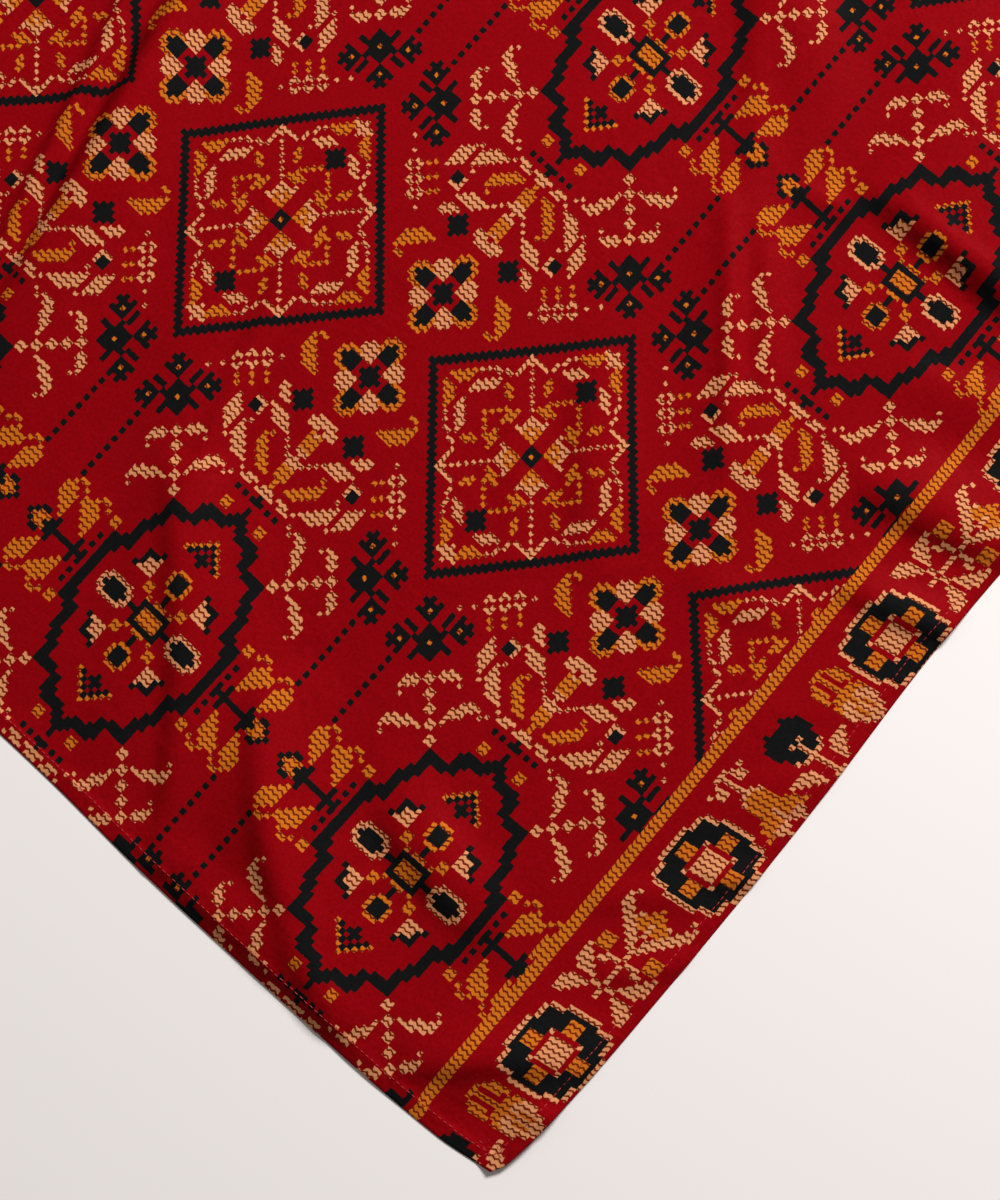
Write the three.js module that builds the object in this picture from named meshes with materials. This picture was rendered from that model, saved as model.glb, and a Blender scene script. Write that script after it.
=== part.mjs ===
import * as THREE from "three";

// A printed dupatta, a long scarf of thin cloth, laid open on a table with its right side up.
// Units are millimetres. X runs across the cloth, Y along its length and Z up from the table.
// The origin is under the middle of the cloth, on the table.

// Size of the cut cloth and of its narrow turned hems
const WIDTH = 970;
const LENGTH = 2300;
const CLOTH_WALL = 1.0;
const HEM_WALL = 1.0;
const HEM_WIDTH = 8.5;
const SEAM_GAP = 0.3;

// Spacing of the wall's points: close near the corner with the finest folds, wider elsewhere
const CLOSE_STEP = 24;
const WIDE_STEP = 56;
const CLOSE_REACH_ACROSS = 560;
const CLOSE_REACH_ALONG = 600;
const STEP_INSIDE_HEM = 11;

const CLOTH_COLOUR = 0x89060e;
const HEM_COLOUR = 0x7a0a10;

// Places on the cloth are told from one corner: "across" from the right-hand side edge towards
// the other side, and "along" from the near end towards the far end.
// How far each edge lies inside the cloth's own box, because the laid cloth pulls in a little
const RIGHT_SIDE = [
  { place: 0, inset: 8.6 },
  { place: 8, inset: 4.8 },
  { place: 40, inset: 1.5 },
  { place: 100, inset: 0 },
  { place: 200, inset: 0.8 },
  { place: 260, inset: 2.8 },
  { place: 330, inset: 6.2 },
  { place: 400, inset: 6.3 },
  { place: 560, inset: 8 },
  { place: 760, inset: 4.5 },
  { place: 980, inset: 7 },
  { place: 1220, inset: 3 },
  { place: 1480, inset: 5.5 },
  { place: 1720, inset: 1.5 },
  { place: 1960, inset: 4 },
  { place: 2180, inset: 1.5 },
  { place: 2300, inset: 7 },
];
const LEFT_SIDE = [
  { place: 0, inset: 8 },
  { place: 60, inset: 3 },
  { place: 260, inset: 5 },
  { place: 500, inset: 1 },
  { place: 740, inset: 4.5 },
  { place: 960, inset: 0 },
  { place: 1260, inset: 3.5 },
  { place: 1500, inset: 2 },
  { place: 1780, inset: 6 },
  { place: 2060, inset: 2.5 },
  { place: 2240, inset: 4 },
  { place: 2300, inset: 8 },
];
const NEAR_END = [
  { place: 0, inset: 5.5 },
  { place: 10, inset: 4 },
  { place: 30, inset: 1.4 },
  { place: 80, inset: 0 },
  { place: 185, inset: 0.9 },
  { place: 240, inset: 2.4 },
  { place: 290, inset: 5.2 },
  { place: 340, inset: 6.4 },
  { place: 460, inset: 7 },
  { place: 600, inset: 4 },
  { place: 760, inset: 7 },
  { place: 900, inset: 3.5 },
  { place: 970, inset: 9 },
];
const FAR_END = [
  { place: 0, inset: 8 },
  { place: 50, inset: 2 },
  { place: 190, inset: 4.5 },
  { place: 360, inset: 0 },
  { place: 540, inset: 3.5 },
  { place: 700, inset: 1 },
  { place: 880, inset: 4 },
  { place: 970, inset: 9 },
];

// The folds that stand off the table: each is a soft ridge between two places on the cloth.
// The ends are told as [across, along], and bow is how far the middle of the ridge swings aside.
const FOLDS = [
  { from: [478, 120], to: [560, 480], bow: 12, height: 6, halfWidth: 36 },
  { from: [400, 215], to: [290, 40], bow: -8, height: 4, halfWidth: 34 },
  { from: [250, 112], to: [150, 22], bow: 14, height: 5, halfWidth: 26 },
  { from: [236, 14], to: [92, 13], bow: -2, height: 3.6, halfWidth: 18 },
  { from: [168, 118], to: [92, 96], bow: 4, height: 4.5, halfWidth: 26 },
  { from: [78, 15], to: [8, 78], bow: 6, height: 4, halfWidth: 28 },
  { from: [234, 472], to: [134, 345], bow: 6, height: 3, halfWidth: 30 },
  { from: [330, 575], to: [225, 520], bow: -8, height: 5, halfWidth: 36 },
  { from: [225, 612], to: [20, 600], bow: 8, height: 7, halfWidth: 95 },
  { from: [86, 390], to: [2, 410], bow: -4, height: 5, halfWidth: 30 },
  { from: [232, 362], to: [160, 276], bow: 3, height: 2.5, halfWidth: 28 },
  { from: [1, 30], to: [5, 46], bow: 0, height: 4, halfWidth: 28 },
  { from: [2, 236], to: [26, 250], bow: 0, height: 3, halfWidth: 46 },
  { from: [640, 30], to: [600, 330], bow: 20, height: 6, halfWidth: 58 },
  { from: [820, 90], to: [700, 420], bow: -18, height: 8, halfWidth: 64 },
  { from: [950, 250], to: [860, 640], bow: 22, height: 6.5, halfWidth: 62 },
  { from: [700, 560], to: [420, 760], bow: 26, height: 8.5, halfWidth: 68 },
  { from: [330, 640], to: [40, 830], bow: -20, height: 7.5, halfWidth: 62 },
  { from: [930, 760], to: [640, 960], bow: -24, height: 7, halfWidth: 66 },
  { from: [520, 880], to: [300, 1130], bow: 18, height: 8, halfWidth: 70 },
  { from: [190, 940], to: [20, 1200], bow: 22, height: 6.5, halfWidth: 60 },
  { from: [900, 1090], to: [600, 1270], bow: 26, height: 8, halfWidth: 70 },
  { from: [470, 1260], to: [250, 1500], bow: -22, height: 7, halfWidth: 66 },
  { from: [950, 1340], to: [740, 1590], bow: -18, height: 8.5, halfWidth: 66 },
  { from: [620, 1470], to: [450, 1740], bow: 24, height: 7.5, halfWidth: 70 },
  { from: [170, 1430], to: [30, 1690], bow: -16, height: 6.5, halfWidth: 62 },
  { from: [860, 1720], to: [690, 1960], bow: 18, height: 7, halfWidth: 66 },
  { from: [360, 1790], to: [140, 1980], bow: 20, height: 8, halfWidth: 68 },
  { from: [600, 1930], to: [430, 2170], bow: -20, height: 7.5, halfWidth: 64 },
  { from: [900, 2060], to: [800, 2270], bow: 12, height: 6, halfWidth: 60 },
  { from: [210, 2080], to: [60, 2250], bow: -12, height: 6.5, halfWidth: 62 },
];
const FOLD_END_SHARE = 0.3;

// Slope of an edge's curve at one row of its table
function edgeSlope(rows, index) {
  const before = rows[Math.max(index - 1, 0)];
  const after = rows[Math.min(index + 1, rows.length - 1)];
  return (after.inset - before.inset) / (after.place - before.place);
}

// Smooth inset of an edge at any place along it
function edgeInset(rows, place) {
  const next = rows.findIndex((row) => row.place >= place && row.place > 0);
  const start = rows[next - 1];
  const end = rows[next];
  const reach = end.place - start.place;
  const share = (place - start.place) / reach;
  const rise = share * share * (3 - 2 * share);
  const leave = share * (1 - share) * (1 - share) * reach * edgeSlope(rows, next - 1);
  const arrive = share * share * (share - 1) * reach * edgeSlope(rows, next);
  return Math.max(start.inset + (end.inset - start.inset) * rise + leave + arrive, 0);
}

// How far one fold lifts the cloth at a place
function foldHeight(fold, across, along) {
  const start = new THREE.Vector2(...fold.from);
  const reach = new THREE.Vector2(...fold.to).sub(start);
  const offset = new THREE.Vector2(across, along).sub(start);
  const share = THREE.MathUtils.clamp(offset.dot(reach) / reach.lengthSq(), 0, 1);
  const crest = reach.clone().multiplyScalar(share);
  const side = new THREE.Vector2(-reach.y, reach.x).normalize();
  crest.addScaledVector(side, fold.bow * Math.sin(Math.PI * share));
  const distance = offset.distanceTo(crest) / fold.halfWidth;
  if (distance >= 1) return 0;
  const fullness = FOLD_END_SHARE + (1 - FOLD_END_SHARE) * Math.sin(Math.PI * share);
  return fold.height * fullness * 0.5 * (1 + Math.cos(Math.PI * distance));
}

// Height of the cloth's underside above the table, before it steps up over its hems
function clothHeight(across, along) {
  return FOLDS.reduce((height, fold) => height + foldHeight(fold, across, along), 0);
}

// Where a place on the cut cloth lies on the table
function laidPlace(across, along) {
  const right = WIDTH / 2 - edgeInset(RIGHT_SIDE, along);
  const left = -WIDTH / 2 + edgeInset(LEFT_SIDE, along);
  const near = -LENGTH / 2 + edgeInset(NEAR_END, across);
  const far = LENGTH / 2 - edgeInset(FAR_END, across);
  const x = THREE.MathUtils.lerp(right, left, across / WIDTH);
  const y = THREE.MathUtils.lerp(near, far, along / LENGTH);
  return { x, y };
}

// Equal steps from one place up to, but not including, another
function evenSteps(from, to, step) {
  const count = Math.ceil((to - from) / step);
  return Array.from({ length: count }, (_, index) => from + ((to - from) * index) / count);
}

// The places of the wall's points from one edge to the other
function stations(total, closeReach) {
  const inner = HEM_WIDTH + STEP_INSIDE_HEM;
  return [
    0,
    HEM_WIDTH,
    ...evenSteps(inner, closeReach, CLOSE_STEP),
    ...evenSteps(closeReach, total - inner, WIDE_STEP),
    total - inner,
    total - HEM_WIDTH,
    total,
  ];
}

const ACROSS = stations(WIDTH, CLOSE_REACH_ACROSS);
const ALONG = stations(LENGTH, CLOSE_REACH_ALONG);

// The cloth's underside as rows of points: a row for each station along, a point for each across
const underside = ALONG.map((along, row) =>
  ACROSS.map((across, column) => {
    const { x, y } = laidPlace(across, along);
    const onEndHem = row < 2 || row > ALONG.length - 3;
    const onSideHem = column < 2 || column > ACROSS.length - 3;
    const step = onEndHem || onSideHem ? HEM_WALL + SEAM_GAP : 0;
    return new THREE.Vector3(x, y, clothHeight(across, along) + step);
  }),
);

// A closed wall of even thickness that stands on rows of points
function wallGeometry(rows, thickness) {
  const columns = rows[0].length;
  const count = rows.length * columns;
  const low = rows.flat();
  const high = low.map((point) => new THREE.Vector3(point.x, point.y, point.z + thickness));
  const triangles = [];
  const quad = (a, b, c, d) => triangles.push(a, b, c, a, c, d);
  for (let row = 0; row < rows.length - 1; row += 1) {
    for (let column = 0; column < columns - 1; column += 1) {
      const corner = row * columns + column;
      const across = corner + 1;
      const along = corner + columns;
      const opposite = along + 1;
      quad(corner, across, opposite, along);
      quad(corner + count, along + count, opposite + count, across + count);
    }
  }
  const rim = [];
  for (let column = 0; column < columns - 1; column += 1) rim.push(column);
  for (let row = 0; row < rows.length - 1; row += 1) rim.push(row * columns + columns - 1);
  for (let column = columns - 1; column > 0; column -= 1) rim.push(count - columns + column);
  for (let row = rows.length - 1; row > 0; row -= 1) rim.push(row * columns);
  rim.forEach((here, index) => {
    const next = rim[(index + 1) % rim.length];
    quad(here, here + count, next + count, next);
  });
  const geometry = new THREE.BufferGeometry().setFromPoints([...low, ...high]);
  geometry.setIndex(triangles);
  geometry.computeVertexNormals();
  return geometry;
}

// A hem lies under the cloth's edge, so it is made from the cloth's own points, moved down
function hemRows(rows) {
  return rows.map((row) =>
    row.map((point) => new THREE.Vector3(point.x, point.y, point.z - SEAM_GAP - HEM_WALL)),
  );
}

// An end hem stops a seam's gap short of the side hems
function betweenSideHems(row) {
  const inner = row.slice(1, -1);
  const shorten = (from, to) => from.clone().lerp(to, SEAM_GAP / from.distanceTo(to));
  inner[0] = shorten(row[1], row[2]);
  inner[inner.length - 1] = shorten(row[row.length - 2], row[row.length - 3]);
  return inner;
}

const clothFinish = new THREE.MeshStandardMaterial({
  color: CLOTH_COLOUR,
  roughness: 0.55,
  metalness: 0,
});
const hemFinish = new THREE.MeshStandardMaterial({
  color: HEM_COLOUR,
  roughness: 0.6,
  metalness: 0,
});

const dupatta = new THREE.Group();

function addPiece(name, rows, thickness, finish) {
  const piece = new THREE.Mesh(wallGeometry(rows, thickness), finish);
  piece.name = name;
  dupatta.add(piece);
}

const nearRows = underside.slice(0, 2).map(betweenSideHems);
const farRows = underside.slice(-2).map(betweenSideHems);
const rightRows = underside.map((row) => row.slice(0, 2));
const leftRows = underside.map((row) => row.slice(-2));

addPiece("panel", underside, CLOTH_WALL, clothFinish);
addPiece("near_end_hem", hemRows(nearRows), HEM_WALL, hemFinish);
addPiece("far_end_hem", hemRows(farRows), HEM_WALL, hemFinish);
addPiece("right_side_hem", hemRows(rightRows), HEM_WALL, hemFinish);
addPiece("left_side_hem", hemRows(leftRows), HEM_WALL, hemFinish);

export default dupatta;
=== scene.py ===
import math

import bpy
import numpy as np
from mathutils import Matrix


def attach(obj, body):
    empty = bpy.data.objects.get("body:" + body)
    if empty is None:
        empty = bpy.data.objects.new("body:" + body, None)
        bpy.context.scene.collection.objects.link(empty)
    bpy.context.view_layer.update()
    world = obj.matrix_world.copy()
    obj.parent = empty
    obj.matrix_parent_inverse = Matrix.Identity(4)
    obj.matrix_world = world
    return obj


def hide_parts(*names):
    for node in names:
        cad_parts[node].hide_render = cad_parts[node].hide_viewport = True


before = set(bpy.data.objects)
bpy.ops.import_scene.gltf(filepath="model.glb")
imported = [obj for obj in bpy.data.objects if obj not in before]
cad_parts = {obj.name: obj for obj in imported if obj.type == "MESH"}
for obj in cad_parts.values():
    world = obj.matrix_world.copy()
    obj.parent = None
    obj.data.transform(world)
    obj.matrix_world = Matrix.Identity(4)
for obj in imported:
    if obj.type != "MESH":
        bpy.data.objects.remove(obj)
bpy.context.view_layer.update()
bpy.ops.object.select_all(action="DESELECT")

# Camera
# It hangs over the near right-hand corner of the cloth and looks down at it, a little from the
# side that is low in the picture.
SENSOR_HEIGHT = 36.0
LENS_LENGTH = 70.0
CAMERA_PLACE = (0.426, -1.079, 1.150)
CAMERA_TILT = math.radians(9.667)
CAMERA_HEADING = math.radians(40.87)
bpy.ops.object.camera_add(location=CAMERA_PLACE, rotation=(CAMERA_TILT, 0.0, CAMERA_HEADING))
camera = bpy.context.object
camera.data.sensor_fit = "VERTICAL"
camera.data.sensor_height = SENSOR_HEIGHT
camera.data.lens = LENS_LENGTH
bpy.context.scene.camera = camera
bpy.context.scene.view_settings.view_transform = "Standard"

# Studio
# A plain pale table, a large soft lamp over the far half of the cloth, beyond the top right of
# the picture, and a weak even fill.
FLOOR_COLOUR = (0.765, 0.716, 0.697, 1.0)
FLOOR_ROUGHNESS = 0.85
FLOOR_SIZE = 12.0
FLOOR_HEIGHT = -0.0001
KEY_PLACE = (0.12, 1.56, 1.97)
KEY_AIM = (0.25, -0.90, 0.0)
KEY_SIZE = 0.94
KEY_POWER = 160.0
FILL_COLOUR = (1.0, 0.99, 0.98, 1.0)
FILL_STRENGTH = 0.23

bpy.ops.mesh.primitive_plane_add(size=FLOOR_SIZE, location=(0.0, 0.0, FLOOR_HEIGHT))
floor = bpy.context.object
floor.name = "table_top"
floor_finish = bpy.data.materials.new("pale table")
floor_finish.use_nodes = True
floor_shader = floor_finish.node_tree.nodes["Principled BSDF"]
floor_shader.inputs["Base Color"].default_value = FLOOR_COLOUR
floor_shader.inputs["Roughness"].default_value = FLOOR_ROUGHNESS
floor.data.materials.append(floor_finish)

key_reach = [aim - place for aim, place in zip(KEY_AIM, KEY_PLACE)]
key_heading = math.atan2(key_reach[1], key_reach[0])
key_drop = math.atan2(math.hypot(key_reach[0], key_reach[1]), -key_reach[2])
bpy.ops.object.light_add(type="AREA", location=KEY_PLACE, rotation=(0.0, -key_drop, key_heading))
key_light = bpy.context.object
key_light.name = "soft_key"
key_light.data.shape = "DISK"
key_light.data.size = KEY_SIZE
key_light.data.energy = KEY_POWER

world = bpy.data.worlds.new("even fill")
world.use_nodes = True
background = world.node_tree.nodes["Background"]
background.inputs["Color"].default_value = FILL_COLOUR
background.inputs["Strength"].default_value = FILL_STRENGTH
bpy.context.scene.world = world

# Panel
# One rectangle cut from thin printed satin crepe and laid open, right side up, with soft folds.
# Its edges are turned under and stitched, so it steps up a little over its own hems.
# Places on it are told in millimetres, from the right-hand side edge and from the near end.
MILLIMETRE = 0.001
WIDTH = 970.0
LENGTH = 2300.0
CLOTH_THICKNESS = 0.2
CLOTH_TOP = 0.30
HEM_STEP = 0.62
HEM_INNER = 8.0
HEM_STEP_FROM = HEM_INNER + 2.2
HEM_STEP_REACH = 3.0
EDGE_DROP = 0.55
EDGE_TURN_REACH = 1.1
# How far each edge lies inside the box of the whole cloth: place along the edge, inset
RIGHT_SIDE = [
    (0, 8.6), (8, 4.8), (40, 1.5), (100, 0), (200, 0.8), (260, 2.8), (330, 6.2), (400, 6.3),
    (560, 8), (760, 4.5), (980, 7), (1220, 3), (1480, 5.5), (1720, 1.5), (1960, 4), (2180, 1.5),
    (2300, 7),
]
LEFT_SIDE = [
    (0, 8), (60, 3), (260, 5), (500, 1), (740, 4.5), (960, 0), (1260, 3.5), (1500, 2), (1780, 6),
    (2060, 2.5), (2240, 4), (2300, 8),
]
NEAR_END = [
    (0, 5.5), (10, 4), (30, 1.4), (80, 0), (185, 0.9), (240, 2.4), (290, 5.2), (340, 6.4),
    (460, 7), (600, 4), (760, 7), (900, 3.5), (970, 9),
]
FAR_END = [
    (0, 8), (50, 2), (190, 4.5), (360, 0), (540, 3.5), (700, 1), (880, 4), (970, 9),
]
# The larger folds. The first thirteen are read from the photo, and the others lie outside it.
FOLD_COLUMNS = ("start", "end", "bow", "height", "half_width")
FOLDS = [
    ((478, 120), (560, 480), 12, 6, 36),
    ((400, 215), (290, 40), -8, 4, 34),
    ((250, 112), (150, 22), 14, 5, 26),
    ((236, 14), (92, 13), -2, 3.6, 18),
    ((168, 118), (92, 96), 4, 4.5, 26),
    ((78, 15), (8, 78), 6, 4, 28),
    ((234, 472), (134, 345), 6, 3, 30),
    ((330, 575), (225, 520), -8, 5, 36),
    ((225, 612), (20, 600), 8, 7, 95),
    ((86, 390), (2, 410), -4, 5, 30),
    ((232, 362), (160, 276), 3, 2.5, 28),
    ((1, 30), (5, 46), 0, 4, 28),
    ((2, 236), (26, 250), 0, 3, 46),
    ((640, 30), (600, 330), 20, 6, 58),
    ((820, 90), (700, 420), -18, 8, 64),
    ((950, 250), (860, 640), 22, 6.5, 62),
    ((700, 560), (420, 760), 26, 8.5, 68),
    ((330, 640), (40, 830), -20, 7.5, 62),
    ((930, 760), (640, 960), -24, 7, 66),
    ((520, 880), (300, 1130), 18, 8, 70),
    ((190, 940), (20, 1200), 22, 6.5, 60),
    ((900, 1090), (600, 1270), 26, 8, 70),
    ((470, 1260), (250, 1500), -22, 7, 66),
    ((950, 1340), (740, 1590), -18, 8.5, 66),
    ((620, 1470), (450, 1740), 24, 7.5, 70),
    ((170, 1430), (30, 1690), -16, 6.5, 62),
    ((860, 1720), (690, 1960), 18, 7, 66),
    ((360, 1790), (140, 1980), 20, 8, 68),
    ((600, 1930), (430, 2170), -20, 7.5, 64),
    ((900, 2060), (800, 2270), 12, 6, 60),
    ((210, 2080), (60, 2250), -12, 6.5, 62),
]
FOLD_END_SHARE = 0.3
EDGE_SETTLE = 45.0
# Finer creases, most of them steeper on one side. The two widths lie left and right of the way
# that the crease runs.
CREASE_COLUMNS = ("start", "end", "bow", "height", "left_width", "right_width")
CREASES = [
    ((483, 130), (559, 389), 0, 7.0, 9, 9),
    ((464, 112), (528, 405), 0, 10.5, 20, 44),
    ((479, 115), (543, 408), 0, -5.5, 9, 14),
    ((335, 138), (385, 292), -3, 3.8, 10, 6),
    ((220, 5), (360, 161), 5, 6.5, 13, 64),
    ((100, 8), (252, 114), -15, 7.6, 16, 52),
    ((80, 9), (225, 9), 0, 2.1, 9, 40),
    ((83, 85), (166, 100), -2, 2.8, 8, 40),
    ((151, 60), (133, 86), 0, 1.2, 7, 7),
    ((0, 72), (74, 10), 5, 3.6, 11, 50),
    ((-8, -14), (10, 54), 0, 3.4, 13, 12),
    ((26, 512), (186, 508), -3, 8.0, 15, 90),
    ((60, 515), (170, 511), -3, 2.0, 10, 10),
    ((172, 493), (208, 480), 0, 1.8, 12, 11),
    ((-13, 408), (86, 384), -6, 3.6, 13, 24),
    ((24, 474), (106, 440), 0, 2.6, 28, 16),
    ((-30, 356), (62, 336), 0, 5.2, 12, 22),
    ((65, 312), (120, 288), -4, 2.3, 15, 22),
    ((138, 340), (234, 456), 2, 3.6, 8, 9),
    ((146, 381), (209, 458), 0, 3.2, 7, 18),
    ((230, 474), (306, 560), 0, 2.6, 10, 18),
    ((156, 250), (236, 348), 0, 2.0, 15, 22),
    ((192, 234), (260, 318), 0, 1.2, 16, 18),
    ((-4, 145), (30, 106), 0, 2.4, 10, 12),
    ((16, 168), (56, 134), 3, 2.2, 12, 14),
    ((106, 193), (150, 170), -4, 1.4, 24, 26),
    ((-12, 198), (26, 176), 0, 3.0, 9, 12),
]
# Swells too low and wide to read as folds: wave across, wave along, turn, height
SWELLS = [
    (61, 97, 0.4, 0.22), (-83, 71, 1.9, 0.20), (47, -139, 3.1, 0.16), (211, 127, 5.0, 0.35),
    (-37, 53, 2.3, 0.08), (151, -67, 4.2, 0.20),
]
# How far the swells wander from straight lines, and over what length
WANDER_ACROSS = 0.9
WANDER_ACROSS_LENGTH = 173
WANDER_ALONG = 0.7
WANDER_ALONG_LENGTH = 229


def eased(share):
    """A share of 0 to 1, made to start and end softly."""
    return share * share * (3 - 2 * share)


def rounded(distance):
    """Height of a rounded ridge 1 high, at a share of its half width away from its crest."""
    return 0.5 * (1 + np.cos(math.pi * np.minimum(distance, 1)))


def edge_inset(rows, place):
    """How far an edge lies inside the cloth's own box, as a smooth curve through its table."""
    spots, insets = np.array(rows, dtype=float).T
    slopes = np.empty_like(insets)
    slopes[1:-1] = (insets[2:] - insets[:-2]) / (spots[2:] - spots[:-2])
    slopes[0] = (insets[1] - insets[0]) / (spots[1] - spots[0])
    slopes[-1] = (insets[-1] - insets[-2]) / (spots[-1] - spots[-2])
    first = np.clip(np.searchsorted(spots, place) - 1, 0, len(spots) - 2)
    reach = spots[first + 1] - spots[first]
    share = (place - spots[first]) / reach
    rise = eased(share)
    leave = share * (1 - share) ** 2 * reach * slopes[first]
    arrive = share * share * (share - 1) * reach * slopes[first + 1]
    return np.maximum(insets[first] + (insets[first + 1] - insets[first]) * rise + leave + arrive, 0)


def laid_place(across, along):
    """Where a place on the cut cloth lies on the table, in millimetres."""
    right = WIDTH / 2 - edge_inset(RIGHT_SIDE, along)
    left = -WIDTH / 2 + edge_inset(LEFT_SIDE, along)
    near = -LENGTH / 2 + edge_inset(NEAR_END, across)
    far = LENGTH / 2 - edge_inset(FAR_END, across)
    x = right + (left - right) * across / WIDTH
    y = near + (far - near) * along / LENGTH
    return x, y


def ridge_distance(start, end, bow, across, along):
    """Distance to the left of a bowed line on the cloth, and how far along it the place is."""
    reach = np.subtract(end, start)
    length = math.hypot(*reach)
    share = (across - start[0]) * reach[0] + (along - start[1]) * reach[1]
    share = np.clip(share / length**2, 0, 1)
    swing = bow * np.sin(math.pi * share) / length
    crest_across = start[0] + reach[0] * share - reach[1] * swing
    crest_along = start[1] + reach[1] * share + reach[0] * swing
    off_across = across - crest_across
    off_along = along - crest_along
    side = np.where(off_across * reach[1] > off_along * reach[0], 1, -1)
    return side * np.hypot(off_across, off_along), share


def fold_height(fold, across, along):
    """How far one fold lifts the cloth at a place."""
    row = dict(zip(FOLD_COLUMNS, fold))
    distance, share = ridge_distance(row["start"], row["end"], row["bow"], across, along)
    fullness = FOLD_END_SHARE + (1 - FOLD_END_SHARE) * np.sin(math.pi * share)
    return row["height"] * fullness * rounded(np.abs(distance) / row["half_width"])


def crease_height(crease, across, along):
    """How far one fine crease lifts the cloth at a place."""
    row = dict(zip(CREASE_COLUMNS, crease))
    distance, share = ridge_distance(row["start"], row["end"], row["bow"], across, along)
    width = np.where(distance > 0, row["left_width"], row["right_width"])
    fullness = np.sqrt(np.sin(math.pi * share))
    return row["height"] * fullness * rounded(np.abs(distance) / width)


def edge_distance(across, along):
    """Distance from a place on the cut cloth to the nearest edge."""
    return np.minimum(np.minimum(across, WIDTH - across), np.minimum(along, LENGTH - along))


def swell_height(across, along):
    """The low unevenness of cloth that has only been smoothed out by hand."""
    total = np.zeros(np.broadcast(across, along).shape)
    for wave_across, wave_along, turn, height in SWELLS:
        wander = WANDER_ACROSS * np.sin(across / WANDER_ACROSS_LENGTH + turn)
        wander += WANDER_ALONG * np.sin(along / WANDER_ALONG_LENGTH - turn)
        phase = across / wave_across * 2 + along / wave_along * 2 + wander + turn
        total += height * (1 + np.sin(phase))
    settled = np.clip(edge_distance(across, along) / EDGE_SETTLE, 0, 1)
    return total * settled


def cloth_height(across, along):
    """Height above the table of the cloth's right side, before it steps up over its hems."""
    height = swell_height(across, along)
    for fold in FOLDS:
        height += fold_height(fold, across, along)
    for crease in CREASES:
        height += crease_height(crease, across, along)
    return np.maximum(height, 0)


def right_side_height(across, along):
    """Height of the cloth's right side, with the step over the hems and the turn at the edges."""
    inside = edge_distance(across, along)
    step = eased(np.clip((HEM_STEP_FROM - inside) / HEM_STEP_REACH, 0, 1))
    turn = np.clip(1 - inside / EDGE_TURN_REACH, 0, 1) ** 2
    return cloth_height(across, along) + CLOTH_TOP + HEM_STEP * step - EDGE_DROP * turn


# The cloth's rows of vertices: over a hem, close together in the photo's corner, and wide apart
HEM_ROWS = [0, 0.35, 0.8, 1.6, 3.6, 5.8, 7.3, 8.2, 9.2, 10.6, 13.5]
PAST_HEM = 18
CLOSE_STEP = 4.0
CLOSE_REACH_ACROSS = 620
CLOSE_REACH_ALONG = 680
WIDE_STEP_ACROSS = 28
WIDE_STEP_ALONG = 30


def stations(total, close_reach, wide_step):
    """Places of the cloth's rows: close in the corner with the finest folds and along each edge."""
    close = np.arange(PAST_HEM, close_reach, CLOSE_STEP)
    wide = np.linspace(close_reach, total - PAST_HEM, int((total - close_reach) / wide_step))
    return np.concatenate([HEM_ROWS, close, wide, total - np.array(HEM_ROWS[::-1])])


ACROSS = stations(WIDTH, CLOSE_REACH_ACROSS, WIDE_STEP_ACROSS)
ALONG = stations(LENGTH, CLOSE_REACH_ALONG, WIDE_STEP_ALONG)


def grid_piece(name, columns, rows):
    """A flat grid with one vertex for each column and row, and the column and row of each vertex."""
    bpy.ops.mesh.primitive_grid_add(x_subdivisions=columns - 1, y_subdivisions=rows - 1, size=1)
    piece = bpy.context.object
    piece.name = name
    corners = np.empty(len(piece.data.vertices) * 3)
    piece.data.vertices.foreach_get("co", corners)
    corners = corners.reshape(-1, 3)
    column = np.rint((corners[:, 0] + 0.5) * (columns - 1)).astype(int)
    row = np.rint((corners[:, 1] + 0.5) * (rows - 1)).astype(int)
    return piece, column, row


def move_vertices(piece, x, y, z):
    """Puts every vertex of a piece at its place, told in millimetres."""
    places = np.stack([x, y, z], axis=1) * MILLIMETRE
    piece.data.vertices.foreach_set("co", places.ravel())
    piece.data.update()


# The print's own places: columns are counted from the middle line of the cloth and rows along it
COLUMNS_A_REPEAT = 70
ROWS_A_REPEAT = 136
UV_CELLS = 100.0
# The print lies a little askew and bent, because the cloth was smoothed out by hand. Its repeats
# are counted at x and y metres from the near right-hand corner: there, then for each x, y, x times
# x, x times y and y times y. The bend grows no more beyond the reach of the drift.
REPEATS_ACROSS = (2.6818, 5.5405, 0.0473, -0.041, 0.1794, 0.1362)
REPEATS_ALONG = (-0.6957, 0.1169, 0.0, -0.006, -0.0647, 0.0)
REPEATS_A_METRE = 2.5403
DRIFT_REACH = 0.9
# Outside the photo the print runs straight along both sides
STRAIGHT_FROM = 640.0
STRAIGHT_TO = 900.0
EDGE_COLUMN = 189.0
# Where handling has pulled the print aside: place, reach and pull, each across and then along
PRINT_PULLS = [
    ((195, 250), (75, 420), (0.0, -3.6)), ((62, 230), (42, 300), (0.0, 3.2)),
    ((170, 535), (90, 100), (1.4, -2.4)), ((70, 10), (300, 50), (1.4, 2.4)),
    ((515, 260), (65, 120), (-4.5, -1.2)), ((240, 320), (120, 110), (-0.9, 0.0)),
]


def bent(terms, x, y):
    """Repeats of the print at a place in metres from the near right-hand corner."""
    at_corner, for_x, for_y, for_xx, for_xy, for_yy = terms
    return at_corner + for_x * x + for_y * y + for_xx * x * x + for_xy * x * y + for_yy * y * y


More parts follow.
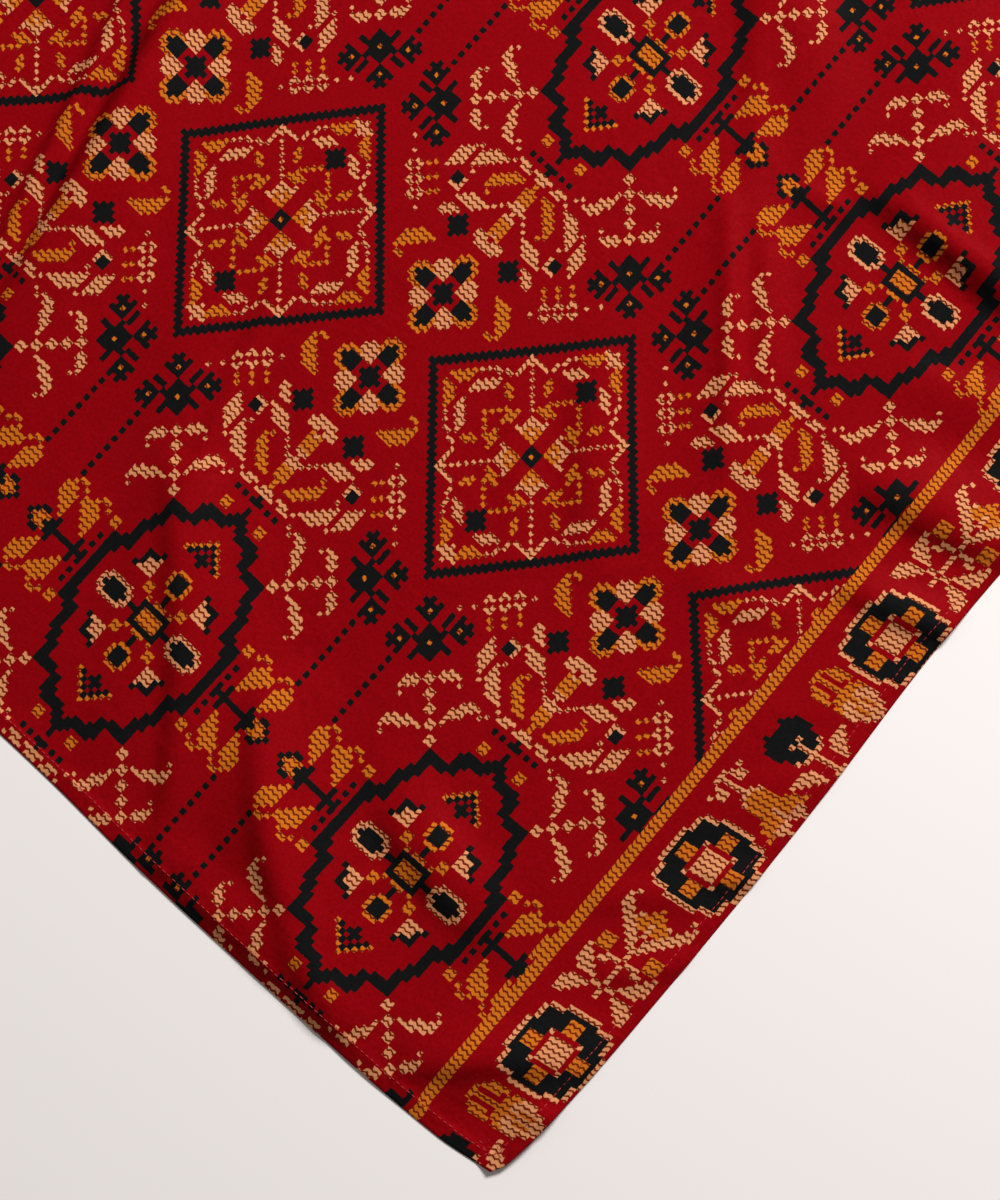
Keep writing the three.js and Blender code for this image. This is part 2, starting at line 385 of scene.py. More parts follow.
def print_place(across, along):
    """Column and row of the print that fall on a place of the cut cloth."""
    pull_across = 0
    pull_along = 0
    for place, reach, pull in PRINT_PULLS:
        off_across = (across - place[0]) / reach[0]
        off_along = (along - place[1]) / reach[1]
        nearness = np.exp(-(off_across**2 + off_along**2))
        pull_across = pull_across + pull[0] * nearness
        pull_along = pull_along + pull[1] * nearness
    x, y = laid_place(across - pull_across, along - pull_along)
    x = (x - WIDTH / 2 + RIGHT_SIDE[0][1]) * MILLIMETRE
    y = (y + LENGTH / 2 - NEAR_END[0][1]) * MILLIMETRE
    drift = DRIFT_REACH * np.tanh(y / DRIFT_REACH)
    repeat = bent(REPEATS_ACROSS, x, drift)
    rise = bent(REPEATS_ALONG, x, drift) + REPEATS_A_METRE * y
    straightened = eased(np.clip((along - STRAIGHT_FROM) / (STRAIGHT_TO - STRAIGHT_FROM), 0, 1))
    plain_column = EDGE_COLUMN * (1 - 2 * across / WIDTH)
    column = repeat * COLUMNS_A_REPEAT * (1 - straightened) + plain_column * straightened
    return column, rise * ROWS_A_REPEAT


def give_print_places(piece, across, along):
    """Keeps the print's places on a piece as its UV map."""
    column, row = print_place(across, along)
    layer = piece.data.uv_layers[0]
    layer.name = "print"
    owner = np.empty(len(piece.data.loops), dtype=int)
    piece.data.loops.foreach_get("vertex_index", owner)
    places = np.stack([column[owner], row[owner]], axis=1) / UV_CELLS
    layer.data.foreach_set("uv", places.ravel())


PUCKER_REACH = 9
panel, column, row = grid_piece("printed_panel", len(ACROSS), len(ALONG))
panel_across = ACROSS[len(ACROSS) - 1 - column]
panel_along = ALONG[row]
panel_x, panel_y = laid_place(panel_across, panel_along)
from_hem = np.abs(edge_distance(panel_across, panel_along) - HEM_INNER)
hem_nearness = panel.data.attributes.new("hem_nearness", "FLOAT", "POINT")
hem_nearness.data.foreach_set("value", np.clip(1 - from_hem / PUCKER_REACH, 0, 1))
move_vertices(panel, panel_x, panel_y, right_side_height(panel_across, panel_along))
give_print_places(panel, panel_across, panel_along)
bpy.ops.object.shade_smooth()

# The print, charted with one letter a cell: b black, c cream, o ochre and a dot for red.
# The field's chart is a quarter of its repeat, from the middle of a diamond to the middle of
# a medallion, and the rest mirrors it. The border's chart is its whole repeat.
FIELD_CHART = """
ob...........o.............bb.......
bb.......o..o.....c..ooo..bb........
..ooocc.oo.o.....cc.ooo..bb.......oo
..ococ..ooo.....ccc.oo..bb.......oob
..oocc..o......ccc..o..bb........obb
..cccc.....oo..cc..c..bb.......ccobb
..c...c.....oo.c..c..bb.......ccccbb
...ooo.c........cc..bb........cccc..
..ooo...c.....cc...bb.......oooccc.b
....o....c...c....bb.......oobbb..bb
...o..o...c..c...bb...oo...obbbb.bbb
..o...oo...c.c..bb...o.....oobbb..bb
.o.....o....cc.bb....oo.....oooccc.b
b........cccccbb.....ooo......cccc..
bb......c....bb......oooo.....ccccbb
bbb.ccc.c...bb........oooo.....ccobb
bb.ccc.c...bb..........oooo......obb
b.ccc..c..bb.....................oob
......c..bb........c..............oo
...ooo..bb......cc..........b.......
..ooo..bb.......c.c........bbb......
c.oo..bb......cc.cc....cc.bbbbb..ccc
cco..bb.......c.c..o...ccc.bbb..cccc
ccc.bb......cc.cc...o...ccc.b...ccc.
c..bb.......c.c..o................oc
..bb.........cc...o.....ccccc.....oo
.bb........c...o.....ccc.ccccc....oo
bb..............o....bbc..ccccc...oo
b........c........c..bbc.......c..cc
...........b.b....cc........o...c..c
....b.b..b.bbbb...ccc..c...o.....ccc
...bbbb..b.bob....ccc.c....oo.....cc
....bob..b.bbbb...ccc.cc...ooo....oo
...bbbb...b........cc.ccc...ooo...oo
.......bbbb.........c.cccc...ooo..oo
.......bbbbbbb.......c.cccc...ooo..o
...bbb.bbobb............cccc.......o
......bbbbbb....ccc.........c.ccc.cc
..bbbb..bbbb...ccc.c.........ccc.ccc
...bob..b......cc......ccc.c.......b
..bbbb..b....cc.......ccc.c...b.b.bb
...b.b.......cc.......cc............
...........cc..cc....ccc...........b
.....b....ccc..cc....cc.......oo...b
..........cc.....cc..c........oo..bb
.....b....c......cc..c...........bbb
...........c.......cc........bbbbbb.
.....b.............cc.......bbbbbb..
...............cccc..cc.....bbb.....
.....b.......cccc....cc.....bb......
............cccc.......bbbbbbb.....o
.....b......cc.........bbbbb......ob
............c..........bb........ob.
.....b.......c.........bb.......ob.b
......................bbb......ob.bb
.....b................bb...........b
.....................bbb............
.....b...............bb.............
......oo....oo.......bb......b....oo
.....o..o..o..o.oo...bb...bbbc...obb
....ooo..oooo...oo..bbb...bccc...obb
....oooo.ooooo....bbbbb...bccc...obb
....oooo..oooo....bbb....bcccc....oo
.....ooo...ooo..b.bbb.........oo...b
......oo....oo....bb..........oo...b
.......o.....o..b.bb............o.oo
....bb..b.....b...bb...cccccc...bbbb
...booobb.....b.b.bb..ccbbbbcc..booo
..booobbbbbbbbbbb.bb..cbbbbbbcbbbooo
"""
ROUNDEL = """
......ccccccc.....
...cccbbbbbbbccc..
..cbbbbbooobbbbbc.
..cbbbbbooobbbbbc.
..cbbbbbooobbbbbc.
.cbbbbc.....cbbbbc
.cbbbb.ccccc.bbbbc
.cbooo.ccccc.ooobc
.cbooo.ccccc.ooobc
.cbooo.ccccc.ooobc
.cbbbb.ccccc.bbbbc
.cbbbbc.....cbbbbc
..cbbbbbooobbbbbc.
..cbbbbbooobbbbbc.
..cbbbbbooobbbbbc.
...cccbbbbbbbccc..
......ccccccc.....
"""
BUD_TREE_AND_BIRD = """
..................
....oooo.ooccc....
...oooo.oocccccc..
..o.....ooccooocc.
..oooooooooocccccc
..o.....ooccooocc.
...oooo.oocccccc..
....oooo.ooccc....
..................
............c.....
............cc....
............ccc...
....bbbb....cccc..
...bbbbbbbc..cccc.
..bbbbbbbbbc......
...bbbbcbbbc.....c
...bbbbbcccccccccc
...bbbbcbbbc.....c
..bbbbbbbbbc......
...bbbbbbbc..cccc.
....bbbb....cccc..
............ccc...
............cc....
............c..o..
.c...........ooo..
..cc........ooocc.
.ccc...coooooooccc
c.....coooooooocc.
cccccccooooocccc..
c.....coooooooocc.
.ccc...coooooooccc
..cc........ooocc.
.c...........ooo..
...............o..
"""
FLOWER = """
..................
..c...........c...
.c......o......c..
.cc....ooo....cc..
.ccc.coooooc.ccc..
..cccooocoooccc...
...cccoocooccc....
....ccc.c.ccc.....
.....ccc.ccc......
......cc.cc.......
..ooo..ccc..ooo...
..ooo...c...ooo...
..ooo...c...ooo...
.c...ccc.ccc...c..
.cc.cc..c..cc.cc..
.ccc....c....ccc..
.cccc...c...cccc..
..cccc..c..cccc...
......cc.cc.......
..cccc..c..cccc...
.cccc...c...cccc..
.ccc.........ccc..
.cc...........cc..
..................
"""
BORDER_CHART = ROUNDEL + BUD_TREE_AND_BIRD + ROUNDEL + FLOWER
RED_CELL = 0
BLACK_CELL = 1
CREAM_CELL = 2
OCHRE_CELL = 3
CELL_NUMBERS = {".": RED_CELL, "b": BLACK_CELL, "c": CREAM_CELL, "o": OCHRE_CELL}
CELL_KINDS = len(CELL_NUMBERS)
SAME_CELL = 0.4
GROUND_RED = (0.208, 0.0013, 0.0033, 1.0)
PRINT_BLACK = (0.0062, 0.0060, 0.0061, 1.0)
PRINT_CREAM = (0.570, 0.226, 0.097, 1.0)
PRINT_OCHRE = (0.480, 0.121, 0.0085, 1.0)
HATCH_BROWN = (0.120, 0.012, 0.003, 1.0)
FADED_INK = (0.42, 0.05, 0.045, 1.0)
# A colour ramp holds 32 stops, and each of a stop's three colour channels holds 12 cells
RAMP_STOPS = 32
FIELD_ROWS_A_RAMP = 23
BORDER_ROWS_A_RAMP = 31
CELLS_A_CHANNEL = 12
CHANNEL_STARTS = (0, CELLS_A_CHANNEL, 2 * CELLS_A_CHANNEL)
# How far black runs over its neighbours, and how far every edge of the print wobbles, in cells
INK_SPREAD = 0.085
INK_WOBBLE = 0.22
INK_WOBBLE_NOISE = {"Scale": 1.1, "Detail": 2.0}
# An ochre stripe and then the border run along each long side, in columns from the middle line.
# The border's rows lean against the field's and are a little closer together.
STRIPE_FROM = 168.9
STRIPE_TO = 171.3
BORDER_FROM = 173.45
BORDER_LEAN = 0.23
BORDER_MIDDLE = 182.95
BORDER_START_ROW = 26.37
BORDER_ROW_SHARE = 92 / 91.4
# Fine brown hatching in a zigzag over the cream and the ochre, in cells. A line is full and then
# gone at the last two, which are shares of the pitch from its middle.
HATCH_PITCH = 1.086
HATCH_WAVE = 1.33
HATCH_SWING = 0.38
HATCH_FULL = 0.12
HATCH_GONE = 0.24


def chart_rows(chart):
    """The rows of a chart as lists of cell numbers."""
    return [[CELL_NUMBERS[letter] for letter in line] for line in chart.split()]


def packed(cells):
    """Up to 12 cells written as one number under 1, in base four."""
    return sum(cell / CELL_KINDS ** (place + 1) for place, cell in enumerate(cells))


def feed(tree, socket, value):
    """Gives a node's input a plain value or another node's output."""
    if isinstance(value, (int, float, tuple)):
        socket.default_value = value
    else:
        tree.links.new(value, socket)


def add_node(tree, kind, inputs):
    """A shader node with its inputs fed by name."""
    node = tree.nodes.new(kind)
    for name, value in inputs.items():
        feed(tree, node.inputs[name], value)
    return node


def noise(tree, place, settings):
    """A noise texture, read at a place."""
    return add_node(tree, "ShaderNodeTexNoise", {"Vector": place, **settings})


def calc(tree, operation, *values):
    """The outcome of a math node, fed with numbers or with other nodes' outputs."""
    node = tree.nodes.new("ShaderNodeMath")
    node.operation = operation
    for socket, value in zip(node.inputs, values):
        feed(tree, socket, value)
    return node.outputs[0]


def scaled(tree, vector, scale):
    """A vector or colour times a number."""
    node = tree.nodes.new("ShaderNodeVectorMath")
    node.operation = "SCALE"
    feed(tree, node.inputs[0], vector)
    feed(tree, node.inputs["Scale"], scale)
    return node.outputs[0]


# Which of a mix node's sockets are for numbers and which for colours
MIX_INPUT = {"FLOAT": 2, "RGBA": 6}
MIX_OUTPUT = {"FLOAT": 0, "RGBA": 2}


def choose(tree, kind, share, low, high):
    """A mix node: low where the share is 0 and high where it is 1."""
    node = tree.nodes.new("ShaderNodeMix")
    node.data_type = kind
    feed(tree, node.inputs[0], share)
    feed(tree, node.inputs[MIX_INPUT[kind]], low)
    feed(tree, node.inputs[MIX_INPUT[kind] + 1], high)
    return node.outputs[MIX_OUTPUT[kind]]


def soft_step(tree, value, low, high):
    """0 below low, 1 above high and a soft rise between."""
    node = add_node(tree, "ShaderNodeMapRange", {"Value": value, "From Min": low, "From Max": high})
    node.interpolation_type = "SMOOTHSTEP"
    return node.outputs["Result"]


def chart_lookup(tree, rows, row_number, column_number, rows_a_ramp):
    """Reads a chart's cell: each stop of a ramp holds one row, packed into its colour channels."""
    colour = None
    for first in range(0, len(rows), rows_a_ramp):
        ramp = tree.nodes.new("ShaderNodeValToRGB")
        ramp.color_ramp.interpolation = "CONSTANT"
        stops = ramp.color_ramp.elements
        for number, cells in enumerate(rows[first : first + rows_a_ramp]):
            stop = stops[0] if number == 0 else stops.new(number / RAMP_STOPS)
            stop.position = number / RAMP_STOPS
            parts = [cells[start : start + CELLS_A_CHANNEL] for start in CHANNEL_STARTS]
            stop.color = (*[packed(part) for part in parts], 1.0)
        stops.remove(stops[-1])
        place = calc(tree, "SUBTRACT", row_number, first - 0.5)
        tree.links.new(calc(tree, "DIVIDE", place, RAMP_STOPS), ramp.inputs[0])
        if colour is None:
            colour = ramp.outputs["Color"]
        else:
            later = calc(tree, "GREATER_THAN", row_number, first - 0.5)
            colour = choose(tree, "RGBA", later, colour, ramp.outputs["Color"])
    channels = add_node(tree, "ShaderNodeSeparateColor", {"Color": colour}).outputs
    value = channels[0]
    for start, channel in zip(CHANNEL_STARTS[1:], channels[1:]):
        later = calc(tree, "GREATER_THAN", column_number, start - 0.5)
        value = choose(tree, "FLOAT", later, value, channel)
    digit = calc(tree, "MODULO", column_number, CELLS_A_CHANNEL)
    scale = calc(tree, "POWER", CELL_KINDS, calc(tree, "ADD", digit, 1.0))
    moved = calc(tree, "FLOOR", calc(tree, "MULTIPLY", value, scale))
    return calc(tree, "FLOORED_MODULO", moved, CELL_KINDS)


def mirrored_cell(tree, place, repeat):
    """The chart's column or row for a place on a repeat that mirrors about its first cell."""
    cell = calc(tree, "FLOOR", calc(tree, "ADD", place, 0.5))
    cell = calc(tree, "FLOORED_MODULO", cell, repeat)
    from_middle = calc(tree, "ABSOLUTE", calc(tree, "SUBTRACT", cell, repeat / 2))
    return calc(tree, "SUBTRACT", repeat / 2, from_middle)


pattern = bpy.data.node_groups.new("printed pattern", "ShaderNodeTree")
pattern.interface.new_socket("Place", in_out="INPUT", socket_type="NodeSocketVector")
pattern.interface.new_socket("Color", in_out="OUTPUT", socket_type="NodeSocketColor")
pattern_in = pattern.nodes.new("NodeGroupInput")
pattern_out = pattern.nodes.new("NodeGroupOutput")

cell_place = scaled(pattern, pattern_in.outputs["Place"], UV_CELLS)
place_parts = add_node(pattern, "ShaderNodeSeparateXYZ", {"Vector": cell_place}).outputs
wobble = noise(pattern, cell_place, INK_WOBBLE_NOISE)
wobble_parts = add_node(pattern, "ShaderNodeSeparateColor", {"Color": wobble.outputs["Color"]}).outputs
column_wobble = calc(pattern, "MULTIPLY_ADD", wobble_parts[0], 2 * INK_WOBBLE, -INK_WOBBLE)
row_wobble = calc(pattern, "MULTIPLY_ADD", wobble_parts[1], 2 * INK_WOBBLE, -INK_WOBBLE)
mirrored_column = calc(pattern, "ABSOLUTE", place_parts["X"])
column_place = calc(pattern, "ADD", mirrored_column, column_wobble)
row_place = calc(pattern, "ADD", place_parts["Y"], row_wobble)


def cell_is(cell, number):
    """1 where a cell has this number, and 0 elsewhere."""
    return calc(pattern, "COMPARE", cell, number, SAME_CELL)


def field_cell_beside(column_step, row_step):
    """The field's cell at the shaded place, or a part of a cell to one side of it."""
    column = calc(pattern, "ADD", column_place, column_step - COLUMNS_A_REPEAT / 2)
    row = calc(pattern, "ADD", row_place, row_step)
    column = mirrored_cell(pattern, column, COLUMNS_A_REPEAT)
    row = mirrored_cell(pattern, row, ROWS_A_REPEAT)
    return chart_lookup(pattern, chart_rows(FIELD_CHART), row, column, FIELD_ROWS_A_RAMP)


# Black runs a little over the colours beside it, and the red ground over the cream
middle_cell = field_cell_beside(0.0, 0.0)
middle_is_cream = cell_is(middle_cell, CREAM_CELL)
field_cell = middle_cell
for column_step, row_step in ((INK_SPREAD, 0), (-INK_SPREAD, 0), (0, INK_SPREAD), (0, -INK_SPREAD)):
    beside = field_cell_beside(column_step, row_step)
    red_over_cream = calc(pattern, "MULTIPLY", cell_is(beside, RED_CELL), middle_is_cream)
    field_cell = choose(pattern, "FLOAT", red_over_cream, field_cell, RED_CELL)
    field_cell = choose(pattern, "FLOAT", cell_is(beside, BLACK_CELL), field_cell, BLACK_CELL)

border_rows = chart_rows(BORDER_CHART)
lean = calc(pattern, "MULTIPLY", calc(pattern, "SUBTRACT", column_place, BORDER_MIDDLE), BORDER_LEAN)
leaning_row = calc(pattern, "SUBTRACT", row_place, lean)
border_place = calc(pattern, "MULTIPLY_ADD", leaning_row, -BORDER_ROW_SHARE, BORDER_START_ROW)
border_row = calc(pattern, "FLOORED_MODULO", calc(pattern, "FLOOR", border_place), len(border_rows))
border_column = calc(pattern, "FLOOR", calc(pattern, "SUBTRACT", column_place, BORDER_FROM))
border_column = calc(pattern, "MINIMUM", border_column, len(border_rows[0]) - 1)
border_column = calc(pattern, "MAXIMUM", border_column, 0.0)
border_cell = chart_lookup(pattern, border_rows, border_row, border_column, BORDER_ROWS_A_RAMP)

in_stripe = calc(pattern, "GREATER_THAN", column_place, STRIPE_FROM)
past_stripe = calc(pattern, "GREATER_THAN", column_place, STRIPE_TO)
in_border = calc(pattern, "GREATER_THAN", column_place, BORDER_FROM)
cell = choose(pattern, "FLOAT", in_stripe, field_cell, OCHRE_CELL)
cell = choose(pattern, "FLOAT", past_stripe, cell, RED_CELL)
cell = choose(pattern, "FLOAT", in_border, cell, border_cell)

is_cream = cell_is(cell, CREAM_CELL)
is_ochre = cell_is(cell, OCHRE_CELL)
hatch_row = choose(pattern, "FLOAT", past_stripe, row_place, leaning_row)
hatch_rise = calc(pattern, "PINGPONG", column_place, HATCH_WAVE / 2)
hatch_rise = calc(pattern, "MULTIPLY", hatch_rise, HATCH_SWING / (HATCH_WAVE / 2))
hatch_phase = calc(pattern, "DIVIDE", calc(pattern, "ADD", hatch_row, hatch_rise), HATCH_PITCH)
hatch_offset = calc(pattern, "SUBTRACT", calc(pattern, "FRACT", hatch_phase), 0.5)
hatch_offset = calc(pattern, "ABSOLUTE", hatch_offset)
hatch_line = soft_step(pattern, hatch_offset, HATCH_FULL, HATCH_GONE)
hatch_line = calc(pattern, "SUBTRACT", 1.0, hatch_line)
hatch_mask = calc(pattern, "MULTIPLY", hatch_line, calc(pattern, "ADD", is_cream, is_ochre))

ink_colour = choose(pattern, "RGBA", cell_is(cell, BLACK_CELL), GROUND_RED, PRINT_BLACK)
ink_colour = choose(pattern, "RGBA", is_cream, ink_colour, PRINT_CREAM)
ink_colour = choose(pattern, "RGBA", is_ochre, ink_colour, PRINT_OCHRE)
ink_colour = choose(pattern, "RGBA", hatch_mask, ink_colour, HATCH_BROWN)
pattern.links.new(ink_colour, pattern_out.inputs["Color"])

# The crepe's own surface: its fine grain, the specks that the grain shades, and low wrinkles with
# closer puckers beside the hems
GRAIN_NOISE = {"Scale": 1500.0, "Detail": 2.0}
SPECK_NOISE = {"Scale": 640.0, "Detail": 3.0, "Roughness": 0.7}
SPECK_SHADE = 0.42
WRINKLE_NOISE = {"Scale": 26.0, "Detail": 3.0, "Distortion": 0.8}
PUCKER_NOISE = {"Scale": 170.0, "Detail": 1.0}
PUCKER_SHARE = 0.75
GRAIN_BUMP = {"Strength": 0.30, "Distance": 0.0003}
WRINKLE_BUMP = {"Strength": 0.35, "Distance": 0.004}
CLOTH_GLOSS = 0.004
RIGHT_SIDE_ROUGHNESS = 0.46
WRONG_SIDE_ROUGHNESS = 0.62
WRONG_SIDE_FADE = 0.38

cloth_grain = bpy.data.node_groups.new("crepe grain", "ShaderNodeTree")
cloth_grain.interface.new_socket("Place", in_out="INPUT", socket_type="NodeSocketVector")
cloth_grain.interface.new_socket("Hem Nearness", in_out="INPUT", socket_type="NodeSocketFloat")
for output in ("Grain", "Wrinkles", "Shade"):
    cloth_grain.interface.new_socket(output, in_out="OUTPUT", socket_type="NodeSocketFloat")
grain_in = cloth_grain.nodes.new("NodeGroupInput")
grain_out = cloth_grain.nodes.new("NodeGroupOutput")
grain = noise(cloth_grain, grain_in.outputs["Place"], GRAIN_NOISE).outputs[0]
cloth_grain.links.new(grain, grain_out.inputs["Grain"])
specks = noise(cloth_grain, grain_in.outputs["Place"], SPECK_NOISE).outputs[0]
shade = calc(cloth_grain, "MULTIPLY_ADD", specks, 2 * SPECK_SHADE, 1 - SPECK_SHADE)
cloth_grain.links.new(shade, grain_out.inputs["Shade"])
wrinkles = noise(cloth_grain, grain_in.outputs["Place"], WRINKLE_NOISE).outputs[0]
puckers = noise(cloth_grain, grain_in.outputs["Place"], PUCKER_NOISE).outputs[0]
puckers = calc(cloth_grain, "MULTIPLY", puckers, grain_in.outputs["Hem Nearness"])
wrinkles = calc(cloth_grain, "MULTIPLY_ADD", puckers, PUCKER_SHARE, wrinkles)
cloth_grain.links.new(wrinkles, grain_out.inputs["Wrinkles"])


def printed_cloth(name, fade, roughness):
    """Satin crepe with the print on it; fade is how far the ink falls short on this side."""
    finish = bpy.data.materials.new(name)
    finish.use_nodes = True
    tree = finish.node_tree
    shader = tree.nodes["Principled BSDF"]
    places = tree.nodes.new("ShaderNodeUVMap")
    places.uv_map = "print"
    print_node = tree.nodes.new("ShaderNodeGroup")
    print_node.node_tree = pattern
    tree.links.new(places.outputs["UV"], print_node.inputs["Place"])
    colour = choose(tree, "RGBA", fade, print_node.outputs["Color"], FADED_INK)
    shader.inputs["Roughness"].default_value = roughness
    shader.inputs["Specular IOR Level"].default_value = CLOTH_GLOSS
    coordinates = tree.nodes.new("ShaderNodeTexCoord")
    grain_node = tree.nodes.new("ShaderNodeGroup")
    grain_node.node_tree = cloth_grain
    tree.links.new(coordinates.outputs["Object"], grain_node.inputs["Place"])
    nearness = tree.nodes.new("ShaderNodeAttribute")
    nearness.attribute_name = "hem_nearness"
    tree.links.new(nearness.outputs["Fac"], grain_node.inputs["Hem Nearness"])
    shaded = scaled(tree, colour, grain_node.outputs["Shade"])
    tree.links.new(shaded, shader.inputs["Base Color"])
    wrinkle_height = {"Height": grain_node.outputs["Wrinkles"], **WRINKLE_BUMP}
    wrinkled = add_node(tree, "ShaderNodeBump", wrinkle_height).outputs["Normal"]
    grain_height = {"Height": grain_node.outputs["Grain"], "Normal": wrinkled, **GRAIN_BUMP}
    grained = add_node(tree, "ShaderNodeBump", grain_height).outputs["Normal"]
    tree.links.new(grained, shader.inputs["Normal"])
    return finish


right_side_finish = printed_cloth("printed satin crepe", 0.0, RIGHT_SIDE_ROUGHNESS)
wrong_side_finish = printed_cloth("satin crepe, wrong side", WRONG_SIDE_FADE, WRONG_SIDE_ROUGHNESS)
panel.data.materials.append(right_side_finish)
panel.data.materials.append(wrong_side_finish)


def give_thickness(piece, slots_on):
    """Thickens a sheet downwards, with its wrong side that many material slots further on."""
    bpy.context.view_layer.objects.active = piece
    wall = piece.modifiers.new("thickness", "SOLIDIFY")
    wall.thickness = CLOTH_THICKNESS * MILLIMETRE
    wall.offset = -1.0
    wall.material_offset = slots_on
    bpy.ops.object.modifier_apply(modifier=wall.name)
    piece.select_set(False)


give_thickness(panel, 1)
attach(panel, "root")
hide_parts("panel")

# Hems
# The edge of the same cloth, folded under itself along each side and end. The long side hems run
# from end to end and the end hems lie between them, all held by one line of stitches.
HEM_OUTER = 0.45
# Across a hem, from its upper layer round the fold to its lower layer: distance inside the edge,
# and height above the table where the cloth lies flat
HEM_PATH = [
    (8.3, 0.64), (6.0, 0.65), (3.5, 0.66), (1.2, 0.65), (0.62, 0.57), (HEM_OUTER, 0.38),
    (0.62, 0.19), (1.2, 0.11), (3.5, 0.10), (6.0, 0.10), (8.3, 0.11),
]
SIDE_HEM_MARGIN = 0.6
END_HEM_MARGIN = 8.9


def face_outwards():
    """Turns the faces of the active piece outwards and shades it smooth."""
    bpy.ops.object.mode_set(mode="EDIT")
    bpy.ops.mesh.select_all(action="SELECT")
    bpy.ops.mesh.normals_make_consistent(inside=False)
    bpy.ops.object.mode_set(mode="OBJECT")
    bpy.ops.object.shade_smooth()


def hem_piece(name, node, place_of, margin, total, rows):
    """A strip folded double that follows one edge, with its fold outwards."""
    between = rows[(rows > margin) & (rows < total - margin)]
    spots = np.concatenate([[margin], between, [total - margin]])
    strip, column, row = grid_piece(name, len(HEM_PATH), len(spots))
    path = np.array(HEM_PATH)
    across, along = place_of(path[column, 0], spots[row])
    x, y = laid_place(across, along)
    move_vertices(strip, x, y, cloth_height(across, along) + path[column, 1])
    give_print_places(strip, across, along)
    strip.data.materials.append(wrong_side_finish)
    face_outwards()
    give_thickness(strip, 0)
    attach(strip, "root")
    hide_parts(node)
    return strip


side_run = (SIDE_HEM_MARGIN, LENGTH, ALONG)
end_run = (END_HEM_MARGIN, WIDTH, ACROSS)
hems = [
    hem_piece("right_side_turning", "right_side_hem", lambda off, spot: (off, spot), *side_run),
    hem_piece("left_side_turning", "left_side_hem", lambda off, spot: (WIDTH - off, spot), *side_run),
    hem_piece("near_end_turning", "near_end_hem", lambda off, spot: (spot, off), *end_run),
    hem_piece("far_end_turning", "far_end_hem", lambda off, spot: (spot, LENGTH - off), *end_run),
]

# Sewing thread
# One line of red lockstitch runs round the cloth just inside the edge and holds the hems.
# Each stitch is a short thread that dips into the cloth at both ends.
STITCH_LINE = 7.9
STITCH_PITCH = 3.3
STITCH_LENGTH = 2.7
STITCH_STRAY = 0.10
STITCH_SEED = 7
THREAD_RADIUS = 0.17
THREAD_SIDES = 6
THREAD_RED = (0.42, 0.006, 0.012, 1.0)
THREAD_ROUGHNESS = 0.5
# The rings of a stitch: share of its length from its middle, lift off the cloth, share of the radius
STITCH_RINGS = [
    (-0.5, -0.30, 0.8), (-0.32, 0.10, 1.0), (0.0, 0.20, 1.05), (0.32, 0.10, 1.0), (0.5, -0.30, 0.8),
]


def stitch_places():
    """Where each stitch has its middle, and which way it runs, as places on the cut cloth."""
    corners = [
        (STITCH_LINE, STITCH_LINE), (STITCH_LINE, LENGTH - STITCH_LINE),
        (WIDTH - STITCH_LINE, LENGTH - STITCH_LINE), (WIDTH - STITCH_LINE, STITCH_LINE),
    ]
    for here, there in zip(corners, corners[1:] + corners[:1]):
        reach = np.subtract(there, here)
        count = int(np.abs(reach).sum() / STITCH_PITCH)
        for number in range(count):
            yield here + reach * (number + 0.5) / count, reach / np.abs(reach).sum()


# The seam ends at the near right-hand corner with a few stitches sewn to and fro: middle and way
CORNER_STITCHES = [
    ((9.5, 12.5), (0.8, 0.6)), ((12.0, 10.2), (0.9, -0.4)), ((14.6, 12.8), (0.5, 0.8)),
    ((16.8, 10.4), (1.0, 0.1)), ((11.2, 14.4), (0.3, 0.9)), ((13.4, 8.6), (0.9, 0.3)),
    ((18.4, 8.9), (0.8, -0.5)), ((8.4, 15.6), (0.9, -0.2)), ((10.4, 6.2), (0.2, 1.0)),
    ((5.6, 9.8), (1.0, 0.2)), ((15.6, 7.0), (0.7, 0.7)), ((7.0, 12.6), (0.1, 1.0)),
]
stitch_rows = list(stitch_places())
stitch_rows += [(np.array(middle), np.array(way)) for middle, way in CORNER_STITCHES]
stitch_middle = np.array([middle for middle, way in stitch_rows])
stitch_way = np.array([way for middle, way in stitch_rows])
stitch_side = np.stack([-stitch_way[:, 1], stitch_way[:, 0]], axis=1)
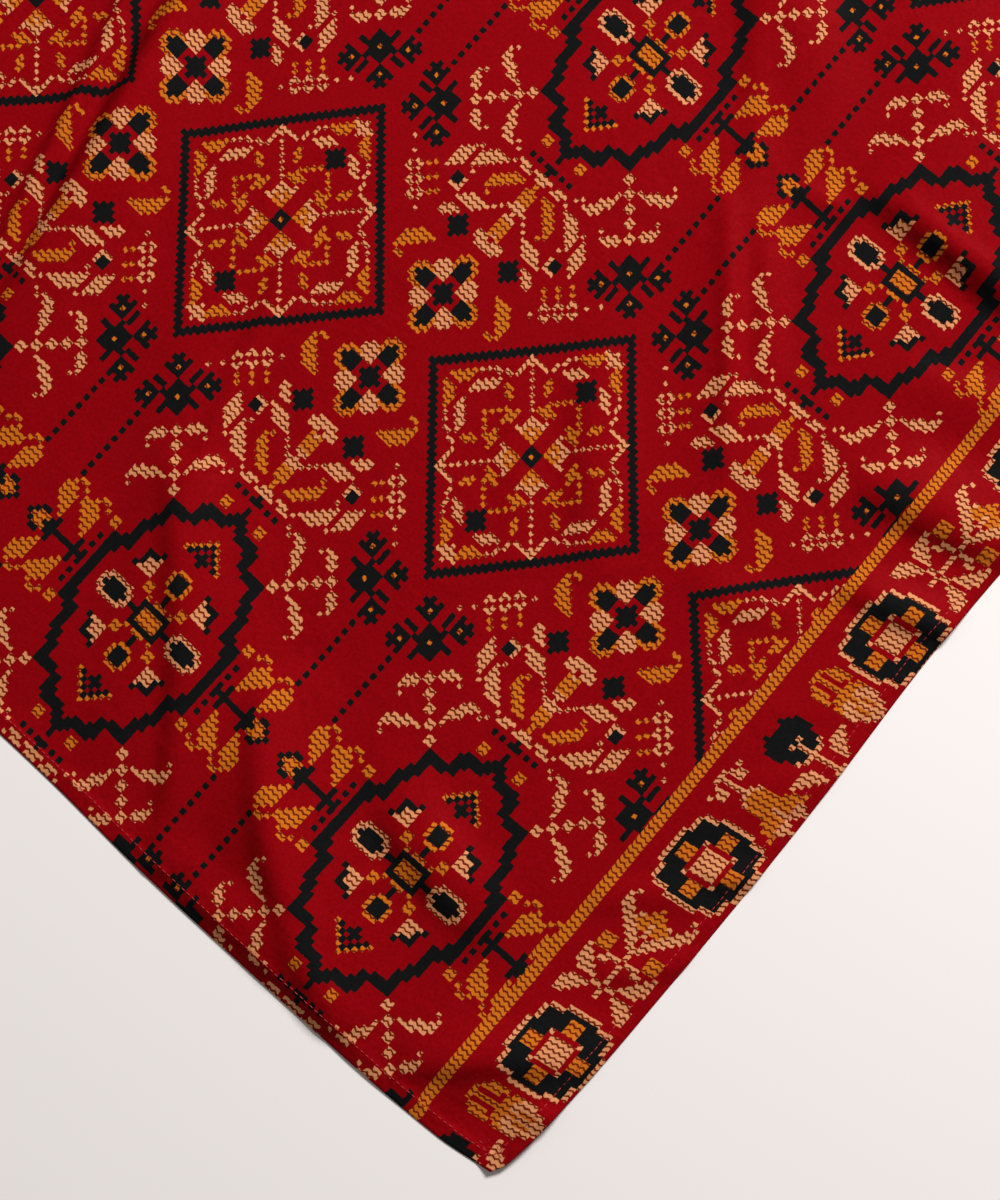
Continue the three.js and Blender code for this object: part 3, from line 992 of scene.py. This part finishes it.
random = np.random.default_rng(STITCH_SEED)
stray = random.normal(0.0, STITCH_STRAY, len(stitch_rows))
stitch_middle += stitch_side * stray[:, None]
thread_places = []
for share, lift, swell in STITCH_RINGS:
    ring_middle = stitch_middle + stitch_way * share * STITCH_LENGTH
    x, y = laid_place(ring_middle[:, 0], ring_middle[:, 1])
    z = right_side_height(ring_middle[:, 0], ring_middle[:, 1]) + lift
    for side in range(THREAD_SIDES):
        angle = 2 * math.pi * side / THREAD_SIDES
        out = THREAD_RADIUS * swell * math.cos(angle)
        up = THREAD_RADIUS * swell * math.sin(angle)
        around = (x + stitch_way[:, 1] * out, y - stitch_way[:, 0] * out, z + up)
        thread_places.append(np.stack(around, axis=1))
thread_places = np.stack(thread_places, axis=1).reshape(-1, 3) * MILLIMETRE
ring_faces = []
for ring in range(len(STITCH_RINGS) - 1):
    for side in range(THREAD_SIDES):
        beside = (side + 1) % THREAD_SIDES
        start = ring * THREAD_SIDES
        following = start + THREAD_SIDES
        ring_faces.append((start + side, start + beside, following + beside, following + side))
last = (len(STITCH_RINGS) - 1) * THREAD_SIDES
end_faces = [tuple(range(THREAD_SIDES))[::-1], tuple(range(last, last + THREAD_SIDES))]
stitch_size = len(STITCH_RINGS) * THREAD_SIDES
thread_faces = [
    tuple(corner + number * stitch_size for corner in face)
    for number in range(len(stitch_rows))
    for face in ring_faces + end_faces
]
thread_mesh = bpy.data.meshes.new("stitches")
thread_mesh.from_pydata(thread_places.tolist(), [], thread_faces)
stitches = bpy.data.objects.new("stitches", thread_mesh)
bpy.context.collection.objects.link(stitches)
stitches.select_set(True)
bpy.context.view_layer.objects.active = stitches
face_outwards()
thread_finish = bpy.data.materials.new("red sewing thread")
thread_finish.use_nodes = True
thread_shader = thread_finish.node_tree.nodes["Principled BSDF"]
thread_shader.inputs["Base Color"].default_value = THREAD_RED
thread_shader.inputs["Roughness"].default_value = THREAD_ROUGHNESS
stitches.data.materials.append(thread_finish)
stitches.select_set(False)
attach(stitches, "root")
